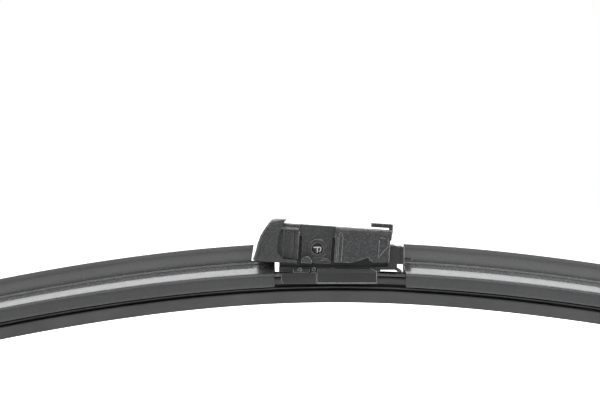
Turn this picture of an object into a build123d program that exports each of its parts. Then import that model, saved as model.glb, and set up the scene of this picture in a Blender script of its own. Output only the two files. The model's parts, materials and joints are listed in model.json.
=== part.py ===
from build123d import *
import math
import os

# Flat (beam type) windscreen wiper blade with its top-lock arm adaptor.
# Millimetres, +Z up.  Row frame: +X along the blade towards the latch end of
# the adaptor, +Y to the rear (the spoiler's fin side), origin below the
# blade's mid-length, on the plane that both relaxed lip ends stand on.
#
# Everything is drawn first in the bracket's own frame (x, w), where the
# bracket is level, and turned into the row frame at the end.

# ---------------------------------------------------------------- dimensions
HALF = 300.0            # half of the blade's length, along the curve
K0 = 0.002591           # curvature of the relaxed beam at mid-length, 1/mm
BEAM_X = -6.67          # mid-length of the beam, in the bracket's frame
BEAM_W = 0.08
BEAM_TILT = 1.162       # bracket stands this much off the beam's middle, deg

RAIL_T = 0.85           # spring rail: thickness and the two edges in Y
RAIL_Y0 = 1.35
RAIL_Y1 = 6.0
RAIL_HALF = 297.0

LIP = 8.9               # lip's edge below the rails' middle
RUBBER_HALF = 299.0

SPOILER_Y = 7.5         # half width of the spoiler
SPOILER_TIP = 283.0     # where both spoilers stop and the end caps begin
SPOILER_L_END = -16.7   # left spoiler's low part, upper part stops earlier
SPOILER_L_CUT = -23.1
SPOILER_CUT_W = 4.0
SPOILER_R_END = 22.5

PIVOT_X = -3.91         # pivot in the bracket's frame
PIVOT_W = 7.68
PITCH = 3.8             # adaptor nose-up against the bracket, deg

PIN_R = 1.62
EAR_HOLE_R = 1.67
PIN_HALF = 6.05

CAP_Y = 9.65            # nose cap half width: outside of a 19.3 mm arm
COVER_Y = 8.5           # cover half width: inside of that arm's channel
FRAME_Y = 7.95
EAR_Y1 = 6.15
EAR_Y0 = 4.75
BLOCK_Y = 4.55
TOP_V = 6.9             # top plate above the pivot
PLATE = 1.3

TONGUE_Y = 3.7
TONGUE_ROOT = 6.8
TONGUE_GAP = 0.12
SLOT_Y = 4.65

CLAW_Y = 8.15
CLAW_BOT = -2.73


# ------------------------------------------------------------------- helpers
def slope(s):
    """Beam slope (downwards away from mid-length), rad, row frame."""
    a = min(abs(s), HALF)
    th = (K0 * HALF / 3.0) * (1.0 - (1.0 - a / HALF) ** 3)
    return th if s >= 0 else -th


NODES_S = [20.0, 40.0, 60.0, 85.0, 110.0, 140.0, 175.0, 215.0, HALF]
NODES_S = [-n for n in reversed(NODES_S)] + [0.0] + NODES_S
TILT = math.radians(BEAM_TILT)


def arc_step(p, th0, th1, ds):
    """Walk ds along an arc whose slope goes from th0 to th1."""
    k = (th1 - th0) / ds
    if abs(k) < 1e-12:
        return (p[0] + ds * math.cos(th0), p[1] - ds * math.sin(th0))
    return (p[0] + (math.sin(th1) - math.sin(th0)) / k,
            p[1] + (math.cos(th1) - math.cos(th0)) / k)


# node positions in the bracket's frame: slope there is slope(s) - TILT
PTS = {0.0: (BEAM_X, BEAM_W)}
for sgn in (1, -1):
    p = PTS[0.0]
    prev = 0.0
    for s in [n for n in (NODES_S if sgn > 0 else reversed(NODES_S)) if n * sgn > 0]:
        p = arc_step(p, slope(prev) - TILT, slope(s) - TILT, s - prev)
        PTS[s] = p
        prev = s


def at(s):
    """Point (x, w) and slope of the piecewise-arc beam at s."""
    if s > HALF or s < -HALF:
        e = HALF if s > 0 else -HALF
        th = slope(e) - TILT
        p = PTS[e]
        return (p[0] + (s - e) * math.cos(th), p[1] - (s - e) * math.sin(th)), th
    for a, b in zip(NODES_S[:-1], NODES_S[1:]):
        if a <= s <= b:
            tha, thb = slope(a) - TILT, slope(b) - TILT
            th = tha + (thb - tha) * (s - a) / (b - a)
            if s - a < 1e-9:
                return PTS[a], tha
            return arc_step(PTS[a], tha, th, s - a), th


def s_of_x(x):
    lo, hi = -HALF, HALF
    for _ in range(60):
        mid = (lo + hi) / 2
        if at(mid)[0][0] < x:
            lo = mid
        else:
            hi = mid
    return (lo + hi) / 2


def path(s0, s1):
    knots = [s0] + [n for n in NODES_S if s0 + 1e-6 < n < s1 - 1e-6] + [s1]
    edges = []
    for a, b in zip(knots[:-1], knots[1:]):
        (xa, wa), _ = at(a)
        (xm, wm), _ = at((a + b) / 2)
        (xb, wb), _ = at(b)
        if abs(a) >= HALF - 1e-6 and abs(b) >= HALF - 1e-6:
            edges.append(Edge.make_line((xa, 0, wa), (xb, 0, wb)))
        else:
            edges.append(Edge.make_three_point_arc((xa, 0, wa), (xm, 0, wm), (xb, 0, wb)))
    return Wire(edges)


def section_plane(s):
    (x, w), th = at(s)
    return Plane(origin=(x, 0, w), x_dir=(0, 1, 0), z_dir=(math.cos(th), 0, -math.sin(th)))


def run(profile, s0, s1, offset=0.0):
    """Sweep a closed (Y, t) outline along the beam from s0 to s1."""
    pl = section_plane(s0)
    pts = [pl.from_local_coords((y, t + offset, 0)) for y, t in profile]
    face = Face(Wire.make_polygon(pts, close=True))
    return sweep(face, path=path(s0, s1))


def prism(pts, y0, y1):
    """Closed (x, w) outline, from y0 to y1."""
    wire = Wire.make_polygon([(x, y0, w) for x, w in pts], close=True)
    return Solid.extrude(Face(wire), Vector(0, y1 - y0, 0))


def both(pts, y0, y1):
    """The same outline on the front and on the rear side."""
    return prism(pts, y0, y1) + prism(pts, -y1, -y0)


def slab(x0, x1, y0, y1, w0, w1):
    return prism([(x0, w0), (x1, w0), (x1, w1), (x0, w1)], y0, y1)


def pair(x0, x1, y0, y1, w0, w1):
    return slab(x0, x1, y0, y1, w0, w1) + slab(x0, x1, -y1, -y0, w0, w1)


def rod(x, w, r, y0, y1):
    pl = Plane(origin=(x, y0, w), x_dir=(1, 0, 0), z_dir=(0, 1, 0))
    return Solid.make_cylinder(r, y1 - y0, pl)


def block_yw(pts, x0, x1):
    """Closed (y, w) outline, from x0 to x1."""
    wire = Wire.make_polygon([(x0, y, w) for y, w in pts], close=True)
    return Solid.extrude(Face(wire), Vector(x1 - x0, 0, 0))


def mirrored(pts):
    """Half outline (y > 0, top to bottom) made whole about y = 0."""
    return pts + [(-y, t) for y, t in reversed(pts)]


def solid_of(shape):
    s = shape.solids()
    return s[0] if len(s) == 1 else Compound(s)


# --------------------------------------------------------------- wiping element
RUBBER = mirrored([
    (2.1, 0.72), (2.1, 0.52), (1.25, 0.5), (1.25, -0.5), (3.2, -0.85), (3.2, -1.5),
    (2.5, -3.05), (0.6, -3.15), (0.5, -3.9), (1.75, -4.12), (1.75, -4.62), (0.45, -4.9),
    (0.45, -5.3), (2.15, -5.45), (2.15, -5.95), (0.35, -LIP),
])
wiper_rubber = run(RUBBER, -RUBBER_HALF, RUBBER_HALF)

# ---------------------------------------------------------------- spring rails
R2 = RAIL_T / 2
spring_rail_rear = run([(RAIL_Y0, R2), (RAIL_Y0, -R2), (RAIL_Y1, -R2), (RAIL_Y1, R2)],
                       -RAIL_HALF, RAIL_HALF)
spring_rail_front = run([(-RAIL_Y0, R2), (-RAIL_Y0, -R2), (-RAIL_Y1, -R2), (-RAIL_Y1, R2)],
                        -RAIL_HALF, RAIL_HALF)

# ------------------------------------------------------------------- spoilers
FACE = [(5.15, 9.0), (4.8, 7.1), (4.42, 5.8), (4.0, 4.9), (3.55, 4.3), (3.1, 3.78), (2.6, 3.5), (1.0, 3.18),
        (-1.0, 2.85), (-3.0, 2.4), (-4.5, 2.0), (-5.6, 1.62), (-6.4, 1.2), (-7.0, 0.75), (-7.35, 0.25), (-7.5, -0.5)]
UNDER = [  # front skirt, claw, rail slot, head room, and the same on the rear
    (-7.5, -3.45), (-7.3, -3.66), (-6.4, -3.66), (-6.4, -1.5), (-4.6, -1.5), (-4.6, -0.52),
    (-6.12, -0.52), (-6.12, 0.52), (-2.5, 0.52), (-2.5, 1.4), (2.5, 1.4), (2.5, 0.52),
    (6.12, 0.52), (6.12, -0.52), (4.6, -0.52), (4.6, -1.5), (6.4, -1.5), (6.4, -3.66),
    (7.3, -3.66), (7.5, -3.45),
]
BACK = [(7.5, 0.4), (7.1, 1.6), (6.5, 5.0), (5.95, 9.04), (5.55, 9.18)]
SPOILER = FACE + UNDER + BACK
CHANNEL = [(3.2, 1.35), (6.3, 1.35), (5.75, 4.7), (5.2, 4.7), (4.4, 3.6), (3.2, 2.6)]

S_LEFT = s_of_x(SPOILER_L_END)
S_RIGHT = s_of_x(SPOILER_R_END)
spoiler_left = run(SPOILER, -SPOILER_TIP, S_LEFT) - run(CHANNEL, -SPOILER_TIP - 1, S_LEFT + 1)
spoiler_left -= prism([(SPOILER_L_CUT - 0.95, SPOILER_CUT_W), (-12, SPOILER_CUT_W), (-12, 14), (SPOILER_L_CUT + 0.75, 14),
                       (SPOILER_L_CUT, 9.5)], -12, 12)
spoiler_left -= slab(SPOILER_L_END, -12, -12, 12, -6, 14)
spoiler_right = run(SPOILER, S_RIGHT - 0.4, SPOILER_TIP) - run(CHANNEL, S_RIGHT - 2, SPOILER_TIP + 1)
spoiler_right -= slab(18, SPOILER_R_END, -12, 12, -6, 14)


# ------------------------------------------------------------------- end caps
CAP_LEN = 18.6
CAP_WALL = 1.4
CAP_IN = [(-6.12, 0.52), (-6.12, -0.52), (-4.2, -0.52), (-4.2, -4.2), (4.2, -4.2), (4.2, -0.52),
          (6.12, -0.52), (6.12, 0.52), (2.5, 0.52), (2.5, 1.4), (-2.5, 1.4), (-2.5, 0.52)]
CAP_OUT = FACE + [(-7.5, -3.45), (-7.3, -3.66), (7.3, -3.66), (7.5, -3.45)] + BACK
S_END = SPOILER_TIP + CAP_LEN


def end_cap(side):
    a, b = SPOILER_TIP + 0.15, S_END
    lo, hi = (a, b) if side > 0 else (-b, -a)
    ilo, ihi = (a - 2, b - CAP_WALL) if side > 0 else (-b + CAP_WALL, -a + 2)
    body = run(CAP_OUT, lo, hi)
    # the fin falls away towards the tip, and the nose is cut back at the bottom
    (x0, w0), th = at(side * (a + 3.0))
    c, s = math.cos(th), -math.sin(th)

    def loc(d, t):
        return (x0 + d * c - t * s, w0 + d * s + t * c)

    top = [loc(0, 12), loc(0, 9.9), loc(side * 3.5, 9.1), loc(side * 8.0, 6.6),
           loc(side * 12.0, 4.3), loc(side * 18.0, 2.3), loc(side * 18.0, 12)]
    body -= prism(top, -12, 12)
    nose = [loc(side * 13.4, -3.9), loc(side * 14.4, -2.4), loc(side * 15.2, 0.4), loc(side * 15.0, 3.6),
            loc(side * 19, 3.6), loc(side * 19, -3.9)]
    body -= prism(nose, -12, 12)
    body -= run(CAP_IN, ilo, ihi)
    return body


end_cap_right = end_cap(+1)
end_cap_left = end_cap(-1)

# -------------------------------------------------------------------- bracket
# moulded base: a plate over the rails, claws round them, a long rib up inside
# the adaptor with the pivot block, and two end posts with a tab between them
BASE_X0, BASE_X1 = -15.4, 19.95
SEAM = -4.05            # the nose-side claws are a clip of their own
CLAW_X1 = 13.8


def claw_outline(top, inner_top):
    return [(CLAW_Y, top - 0.25), (CLAW_Y - 0.25, top), (6.05, top), (6.05, inner_top),
            (6.25, inner_top), (6.25, -0.64), (4.4, -0.64), (4.4, -1.5), (6.3, -1.5),
            (6.3, CLAW_BOT), (CLAW_Y - 0.3, CLAW_BOT), (CLAW_Y, CLAW_BOT + 0.3)]


def flip(pts):
    return [(-y, w) for y, w in pts]


plate_yw = mirrored([(6.05, 2.3), (6.05, 0.64), (2.4, 0.64), (2.4, 1.45)])
base_bracket = block_yw(plate_yw, BASE_X0 + 0.0, BASE_X1)
claw = [(CLAW_Y, 0.4), (CLAW_Y - 0.16, 0.56), (CLAW_Y - 0.16, 1.65), (CLAW_Y - 0.36, 1.85)] + claw_outline(1.85, 0.64)[2:]
base_bracket += block_yw(claw, SEAM + 0.06, CLAW_X1) + block_yw(flip(claw), SEAM + 0.06, CLAW_X1)
# small round stops on the claws' tops
def nub(x):
    return [(x + 0.62 * math.cos(math.radians(a)), 1.62 + 0.55 * math.sin(math.radians(a))) for a in range(0, 360, 20)]


# the claws' tops slope away where the adaptor's cover comes down
base_bracket -= both([(11.6, 1.98), (14.0, 1.02), (14.0, 2.25), (11.6, 2.25)], 6.3, 9)
# long rib with the pivot block
rib = [(-15.35, 2.25), (-15.35, 4.1), (-14.6, 4.8), (-9.75, 5.1), (-9.6, 11.2), (-8.9, 12.0),
       (1.0, 12.0), (1.7, 11.2), (2.25, 5.1), (15.5, 5.1), (16.4, 4.4), (21.9, 4.4), (21.9, 3.0),
       (19.95, 3.0), (19.95, 2.2)]
base_bracket += prism(rib, -BLOCK_Y, BLOCK_Y)
# weight-saving pockets from below are closed by the rail plate; two pockets
# from above leave ribs on each side of the pivot block
base_bracket -= slab(-14.0, -10.9, -3.2, 3.2, 3.2, 6.0)
base_bracket -= slab(3.4, 7.4, -3.2, 3.2, 3.2, 6.0)
base_bracket -= slab(8.2, 14.4, -3.2, 3.2, 3.2, 6.0)
# end posts
post = [(17.3, 2.2), (17.3, 8.35), (17.6, 8.68), (19.9, 8.68), (20.0, 8.32), (22.1, 8.32), (22.1, 3.0), (19.95, 3.0), (19.95, 2.2)]
base_bracket += both(post, 4.35, 6.2)
base_bracket -= pair(20.75, 21.1, 5.95, 6.4, 2.9, 9.2)
# tab over the start of the right spoiler, with a shallow recess
base_bracket += slab(21.0, 24.7, -2.7, 2.7, 4.0, 4.75)
base_bracket -= slab(22.4, 23.9, -1.5, 1.5, 4.5, 5.5)
# finger over the rails
base_bracket -= slab(14.9, 20.5, -7, 7, 0.2, 1.35)
base_bracket += both([(19.5, 1.4), (20.3, 0.62), (21.4, 0.62), (21.4, 1.32), (20.5, 1.5), (19.9, 2.2), (19.5, 2.2)], 2.6, 6.0)
base_bracket += both(nub(0.67), 6.4, 7.9)
base_bracket -= rod(PIVOT_X, PIVOT_W, PIN_R, -8, 8)

# nose-side clips: the same claws, lower, one on each side, with a shelf that
# carries the plate's edge
clip_claw = [(CLAW_Y, 0.29), (CLAW_Y - 0.25, 0.54), (6.25, 0.54), (6.25, -0.64), (4.4, -0.64), (4.4, -1.5), (6.3, -1.5),
             (6.3, CLAW_BOT), (CLAW_Y - 0.3, CLAW_BOT), (CLAW_Y, CLAW_BOT + 0.3)]
CLIP_X0 = -14.75


def clip(side):
    outline = clip_claw if side > 0 else flip(clip_claw)
    body = block_yw(outline, CLIP_X0, SEAM - 0.06)
    foot = [(CLIP_X0 - 1, -1.9), (CLIP_X0, -1.9), (CLIP_X0 + 0.9, -2.9), (CLIP_X0 - 1, -2.9)]
    lo, hi = sorted((side * 3.0, side * 9.0))
    body -= prism(foot, lo, hi)
    lo, hi = sorted((side * 6.1, side * 7.3))
    body += slab(-11.2, -6.2, lo, hi, 0.3, 1.7) + slab(-5.7, -4.25, lo, hi, 0.3, 1.7)
    for x in (-9.15, -4.95):
        body += prism(nub(x), *sorted((side * 6.15, side * 7.8)))
    return body


base_clip_front = clip(-1)
base_clip_rear = clip(+1)

# ------------------------------------------------------------------ pivot pin
pivot_pin = rod(PIVOT_X, PIVOT_W, PIN_R, -PIN_HALF, PIN_HALF)
core = rod(PIVOT_X, PIVOT_W, 1.25, -PIN_HALF - 1, -PIN_HALF + 2.6) + rod(PIVOT_X, PIVOT_W, 1.25, PIN_HALF - 2.6, PIN_HALF + 1)
core -= slab(PIVOT_X - 2, PIVOT_X + 2, -9, 9, PIVOT_W + 0.25, PIVOT_W + 0.62)
core -= slab(PIVOT_X - 0.18, PIVOT_X + 0.18, -9, 9, PIVOT_W - 2, PIVOT_W + 0.4)
wall = rod(PIVOT_X, PIVOT_W, 1.4, -9, 9) - rod(PIVOT_X, PIVOT_W, 0.88, -9, 9)
core -= wall & slab(PIVOT_X + 0.4, PIVOT_X + 2, -9, 9, PIVOT_W - 0.95, PIVOT_W + 0.3)
pivot_pin -= core

# -------------------------------------------------------------------- adaptor
# drawn about the pivot in (u, v) and pitched afterwards
# top plate
adaptor = slab(-12.9, -5.65, -7.6, 7.6, 5.65, TOP_V - 0.05)
adaptor += slab(-5.7, 5.1, -EAR_Y1, EAR_Y1, TOP_V - PLATE, TOP_V)
adaptor -= pair(-3.65, 2.2, 2.4, 3.8, 4, 8)
adaptor -= pair(-9.7, -6.0, 1.0, 2.9, TOP_V - 0.4, 8)
# nose-side frame: thin walls with a ledge at the top and upright ribs
adaptor += both([(-12.9, 0.6), (-12.4, 0.4), (-11.6, -3.2), (-5.65, -3.45), (-5.65, 5.9), (-12.9, 5.9)], 6.6, 7.35)
ledge = [(6.6, 4.75), (7.6, 4.75), (8.0, 4.95), (8.0, 5.45), (7.6, 5.95), (6.6, 5.95)]
adaptor += block_yw(ledge, -12.9, -5.95) + block_yw(flip(ledge), -12.9, -5.95)
for u0, u1 in ((-10.35, -9.8), (-7.95, -7.35), (-6.55, -5.65)):
    adaptor += both([(u0, -3.3), (u1, -3.4), (u1, 4.9), (u0, 4.9)], 6.7, FRAME_Y)
# bulkheads that join the frame and the cover to the ears
adaptor += pair(-6.1, -5.65, EAR_Y0, 7.4, -3.3, 6.0)
adaptor += pair(5.1, 5.6, EAR_Y0, 7.6, -3.4, 6.0)
# ears with the pivot holes, free below the two slots
ear = [(-5.7, 3.6), (-4.8, 3.6), (-4.65, -4.35), (4.25, -4.35), (4.3, 3.6), (5.15, 3.6), (5.15, 6.0), (-5.7, 6.0)]
adaptor += both(ear, EAR_Y0, EAR_Y1)
adaptor += rod(0, 0, 2.9, EAR_Y1 - 0.3, EAR_Y1 + 0.42) + rod(0, 0, 2.9, -EAR_Y1 - 0.42, -EAR_Y1 + 0.3)
adaptor += rod(0, 0, 2.35, EAR_Y1 - 0.3, EAR_Y1 + 0.6) + rod(0, 0, 2.35, -EAR_Y1 - 0.6, -EAR_Y1 + 0.3)
# dogs that the arm's side walls rest on, and a small snap nib
dog = [(-3.0 + 1.6 * math.cos(math.radians(a)), -3.95 + 1.6 * math.sin(math.radians(a))) for a in range(0, 181, 15)]
dog = dog + [(-4.6, -4.4), (-1.4, -4.4)]
adaptor += both(dog, EAR_Y1 - 0.5, 9.5)
nib = [(1.4, -3.35), (2.1, -2.55), (3.3, -2.55), (3.9, -3.35)]
adaptor += both(nib, EAR_Y1 - 0.3, 7.1)
# cover: two side walls and two top strips beside the tongue
side = [(5.1, -3.6), (10.3, -3.45), (13.0, -2.5), (15.1, -1.65), (15.55, -1.75), (15.6, -2.35), (15.95, -2.55),
        (16.3, -2.35), (16.5, -2.94), (21.35, -2.7), (21.5, -2.5), (21.5, 3.85), (21.85, 3.95), (21.9, 6.0), (5.1, 6.0)]
adaptor += both(side, 7.3, COVER_Y)
strip = [(SLOT_Y, 5.6), (SLOT_Y, 6.85), (7.75, 6.85), (COVER_Y, 6.1), (COVER_Y, 5.6)]
adaptor += block_yw(strip, 5.1, 21.9) + block_yw(flip(strip), 5.1, 21.9)
adaptor += slab(5.05, TONGUE_ROOT, -SLOT_Y - 0.2, SLOT_Y + 0.2, 5.6, 6.85)
# raised ribs and gusset lines on the cover's sides
for rb in ([(5.9, -3.3), (6.35, -3.3), (6.35, 4.3), (5.9, 4.3)],
           [(6.95, -3.3), (7.4, -3.3), (7.4, 4.0), (6.95, 4.0)],
           [(18.1, -1.4), (18.5, -1.4), (18.5, 4.2), (18.1, 4.2)],
           [(20.6, 2.0), (21.1, 2.0), (21.1, 4.9), (20.6, 4.9)],
           [(18.1, -1.4), (18.6, -1.4), (21.1, 2.0), (20.7, 2.2)],
           [(21.1, -2.7), (21.5, -2.7), (21.5, 3.85), (21.1, 3.85)]):
    adaptor += both(rb, COVER_Y - 0.2, COVER_Y + 0.18)
adaptor += rod(6.7, 4.6, 0.55, COVER_Y - 0.2, COVER_Y + 0.18) + rod(6.7, 4.6, 0.55, -COVER_Y - 0.18, -COVER_Y + 0.2)
# holes for the pivot pin
adaptor -= rod(0, 0, EAR_HOLE_R, -8, 8)

# nose cap: hollow, open below and towards the latch, with a foot rail each side
CAP = [(-9.85, 8.02), (-10.3, 7.45), (-10.64, 6.44), (-11.27, 5.06), (-11.75, 2.93), (-11.99, 0.77),
       (-11.87, -1.04), (-11.41, -2.23), (-10.7, -2.95), (-10.1, -3.4), (-9.0, -4.75),
       (-18.2, -4.83), (-19.0, -4.35), (-18.95, -4.1), (-18.64, -3.16), (-18.25, -1.4), (-17.95, 0.37), (-17.23, 2.85),
       (-16.1, 5.02), (-14.95, 6.85), (-14.2, 7.6), (-13.3, 7.9)]
cap = prism(CAP, -CAP_Y, CAP_Y)
nose_edges = [e for e in cap.edges()
              if abs(abs(e.center().Y) - CAP_Y) < 1e-6 and e.center().X < -13.0 and e.center().Z > -4.4]
try:
    cap = cap.fillet(1.9, nose_edges)
except Exception:
    try:
        cap = cap.chamfer(1.2, None, nose_edges)
    except Exception:
        pass
top_edges = [e for e in cap.edges()
             if abs(abs(e.center().Y) - CAP_Y) < 1e-6 and -12.9 < e.center().X < -10.2 and e.center().Z > 7.6]
CAVITY = [(-4.0, 6.95), (-13.2, 6.95), (-13.9, 6.4), (-14.9, 4.6), (-15.95, 2.5), (-16.6, 0.2), (-17.2, -3.0),
          (-17.4, -6.0), (-4.0, -6.0)]
cap -= prism(CAVITY, -8.15, 8.15)
cap -= slab(-21, -15, -8.0, 8.0, -6.0, -2.2)
# the cap's lower edge turns in
under_cut = [(9.75, -4.0), (9.75, -5.2), (8.55, -5.2)]
cap -= block_yw(under_cut, -20, -5) + block_yw(flip(under_cut), -20, -5)
# foot rails under the frame's walls
cap += block_yw([(8.05, -3.6), (9.5, -3.6), (9.5, -4.1), (8.9, -4.7), (8.05, -4.7)], -12.5, -5.8)
cap += block_yw([(-8.05, -3.6), (-9.5, -3.6), (-9.5, -4.1), (-8.9, -4.7), (-8.05, -4.7)], -12.5, -5.8)
nose_cap = cap

# latch tongue with the raised release button
tongue = slab(TONGUE_ROOT + TONGUE_GAP, 22.35, -TONGUE_Y, TONGUE_Y, 5.65, 6.85)
tongue += slab(21.5, 22.35, -TONGUE_Y + 0.1, TONGUE_Y - 0.1, 6.8, 8.0)
button = Solid.make_box(6.4, 7.2, 1.22).moved(Location((15.95, -3.6, 7.5)))
button = button.fillet(0.45, [e for e in button.edges().filter_by(Axis.Z)])
tongue += button
tongue -= slab(14.9, 15.5, -5, 5, 6.55, 7.2)
# stiffening rib under the tongue
tongue += slab(9.0, 20.5, -0.5, 0.5, 5.0, 5.8)
latch_tongue = tongue

# ----------------------------------------------------------- into the row frame
PIVOT_LOC = Location((PIVOT_X, 0, PIVOT_W), (0, PITCH, 0))
adaptor_body = adaptor.moved(PIVOT_LOC)
nose_cap = nose_cap.moved(PIVOT_LOC)
latch_tongue = latch_tongue.moved(PIVOT_LOC)


def to_row_xy(x, w):
    dx, dw = x - BEAM_X, w - BEAM_W
    return dx * math.cos(TILT) + dw * math.sin(TILT), -dx * math.sin(TILT) + dw * math.cos(TILT)


(ex, ew), eth = at(RUBBER_HALF)
LIFT = -to_row_xy(ex + math.sin(-eth) * LIP, ew - math.cos(eth) * LIP)[1]
ROW = Location((0, 0, LIFT)) * Location((0, 0, 0), (0, BEAM_TILT, 0)) * Location((-BEAM_X, 0, -BEAM_W))

parts = {
    "wiper_rubber": wiper_rubber,
    "spring_rail_front": spring_rail_front,
    "spring_rail_rear": spring_rail_rear,
    "spoiler_left": spoiler_left,
    "spoiler_right": spoiler_right,
    "end_cap_left": end_cap_left,
    "end_cap_right": end_cap_right,
    "base_bracket": base_bracket,
    "base_clip_front": base_clip_front,
    "base_clip_rear": base_clip_rear,
    "pivot_pin": pivot_pin,
    "adaptor_body": adaptor_body,
    "nose_cap": nose_cap,
    "latch_tongue": latch_tongue,
}

os.makedirs("parts", exist_ok=True)
for name, shape in parts.items():
    shape = solid_of(shape.moved(ROW))
    export_step(shape, "parts/" + name + ".step")
    bb = shape.bounding_box()
    print(f"{name:18s} solids {len(shape.solids())} vol {shape.volume:9.2f} "
          f"x {bb.min.X:8.2f} {bb.max.X:8.2f} y {bb.min.Y:6.2f} {bb.max.Y:6.2f} z {bb.min.Z:6.2f} {bb.max.Z:6.2f}")


def row_point(x, y, w):
    a, b = to_row_xy(x, w)
    return (round(a, 4), y, round(b + LIFT, 4))


def uv(u, v):
    c, s = math.cos(math.radians(PITCH)), math.sin(math.radians(PITCH))
    return PIVOT_X + u * c + v * s, PIVOT_W - u * s + v * c


print("lift", LIFT)
print("pivot", row_point(PIVOT_X, 0, PIVOT_W))
print("tongue root", row_point(uv(TONGUE_ROOT + TONGUE_GAP, 6.25)[0], 0, uv(TONGUE_ROOT + TONGUE_GAP, 6.25)[1]))
print("arm seat", row_point(uv(-0.7, TOP_V)[0], 0, uv(-0.7, TOP_V)[1]))
print("channel mouth", row_point(uv(21.9, 0)[0], 0, uv(21.9, 0)[1]))
print("lip middle", row_point(at(0)[0][0] - math.sin(TILT) * 0 - LIP * math.sin(at(0)[1]), 0, at(0)[0][1] - LIP * math.cos(at(0)[1])))
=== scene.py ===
import bpy
import bmesh
import json
import math
from mathutils import Vector, Matrix
from mathutils.geometry import tessellate_polygon
from mathutils.bvhtree import BVHTree


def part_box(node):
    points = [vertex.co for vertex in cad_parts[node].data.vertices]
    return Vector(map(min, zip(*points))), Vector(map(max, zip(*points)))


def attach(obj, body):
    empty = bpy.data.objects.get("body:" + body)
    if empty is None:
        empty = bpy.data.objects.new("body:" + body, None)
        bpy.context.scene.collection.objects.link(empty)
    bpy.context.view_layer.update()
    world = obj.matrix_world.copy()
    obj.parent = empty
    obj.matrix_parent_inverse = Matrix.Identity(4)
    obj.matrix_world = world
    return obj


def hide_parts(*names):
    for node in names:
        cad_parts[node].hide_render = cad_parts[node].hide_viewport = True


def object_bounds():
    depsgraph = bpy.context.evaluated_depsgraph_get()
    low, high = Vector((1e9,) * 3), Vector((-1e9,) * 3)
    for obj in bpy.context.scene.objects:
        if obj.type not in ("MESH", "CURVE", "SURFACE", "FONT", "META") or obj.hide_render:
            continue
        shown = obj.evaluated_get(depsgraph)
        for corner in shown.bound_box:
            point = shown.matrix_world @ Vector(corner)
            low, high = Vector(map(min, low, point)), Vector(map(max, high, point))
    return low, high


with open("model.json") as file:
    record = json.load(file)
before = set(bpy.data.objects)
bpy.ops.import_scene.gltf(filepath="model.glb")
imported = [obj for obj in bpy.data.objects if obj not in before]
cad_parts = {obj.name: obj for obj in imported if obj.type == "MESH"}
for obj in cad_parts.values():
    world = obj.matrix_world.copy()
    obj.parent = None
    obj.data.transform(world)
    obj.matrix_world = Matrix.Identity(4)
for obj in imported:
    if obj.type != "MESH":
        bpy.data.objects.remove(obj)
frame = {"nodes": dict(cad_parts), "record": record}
CAD_LO, CAD_HI = [tuple(v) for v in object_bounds()]
NODES = frame["nodes"]
MM = 0.001
SCENE = bpy.context.scene

# ------------------------------------------------------------------ the beam
HALF = 300.0
K0 = 0.002591
TILT = math.radians(1.162)
RAIL_R2 = 0.425
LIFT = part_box("spring_rail_front")[1].z / MM - RAIL_R2
BEAM_X, BEAM_W = -6.67, 0.08


KNOTS = [0.0, 20.0, 40.0, 60.0, 85.0, 110.0, 140.0, 175.0, 215.0, 300.0]
BEND = [(K0 * HALF / 3.0) * (1.0 - (1.0 - k / HALF) ** 3) for k in KNOTS]


def slope(s):
    """The rails are tangent arcs, so the slope is linear between the knots."""
    a = abs(s)
    i = 0
    while i < len(KNOTS) - 2 and a > KNOTS[i + 1]:
        i += 1
    th = BEND[i] + (BEND[i + 1] - BEND[i]) * (a - KNOTS[i]) / (KNOTS[i + 1] - KNOTS[i])
    return th if s >= 0 else -th


STEP = 0.5
TABLE = [(0.0, 0.0)]
for i in range(1, 621):
    a, b = (i - 1) * STEP, i * STEP
    m = (a + b) / 2
    cx = (math.cos(slope(a)) + 4 * math.cos(slope(m)) + math.cos(slope(b))) / 6 * STEP
    sx = (math.sin(slope(a)) + 4 * math.sin(slope(m)) + math.sin(slope(b))) / 6 * STEP
    TABLE.append((TABLE[-1][0] + cx, TABLE[-1][1] - sx))


def beam(s):
    a = abs(s) / STEP
    i = min(int(a), len(TABLE) - 2)
    f = a - i
    x = TABLE[i][0] + (TABLE[i + 1][0] - TABLE[i][0]) * f
    z = TABLE[i][1] + (TABLE[i + 1][1] - TABLE[i][1]) * f
    return (x if s >= 0 else -x), z + LIFT, slope(s)


def to_row(x, w):
    """Bracket-frame millimetres to row-frame millimetres."""
    dx, dw = x - BEAM_X, w - BEAM_W
    return dx * math.cos(TILT) + dw * math.sin(TILT), -dx * math.sin(TILT) + dw * math.cos(TILT) + LIFT


def place(s, y, t):
    x, z, th = beam(s)
    return Vector(((x + t * math.sin(th)) * MM, y * MM, (z + t * math.cos(th)) * MM))


def s_of_x(x):
    lo, hi = -HALF, HALF
    for _ in range(50):
        mid = (lo + hi) / 2
        if beam(mid)[0] < x:
            lo = mid
        else:
            hi = mid
    return (lo + hi) / 2


def stations(s0, s1, step=2.0):
    n = max(2, int(math.ceil(abs(s1 - s0) / step)))
    return [s0 + (s1 - s0) * i / n for i in range(n + 1)]


# ------------------------------------------------------------- profile helpers
def spline(pts, per=5):
    """Catmull-Rom through the points, ends included."""
    out = []
    n = len(pts)
    for i in range(n - 1):
        p0 = pts[max(i - 1, 0)]
        p1, p2 = pts[i], pts[i + 1]
        p3 = pts[min(i + 2, n - 1)]
        for k in range(per):
            t = k / per
            out.append(tuple(
                0.5 * ((2 * p1[a]) + (-p0[a] + p2[a]) * t + (2 * p0[a] - 5 * p1[a] + 4 * p2[a] - p3[a]) * t * t
                       + (-p0[a] + 3 * p1[a] - 3 * p2[a] + p3[a]) * t ** 3) for a in (0, 1)))
    out.append(pts[-1])
    return out


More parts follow.
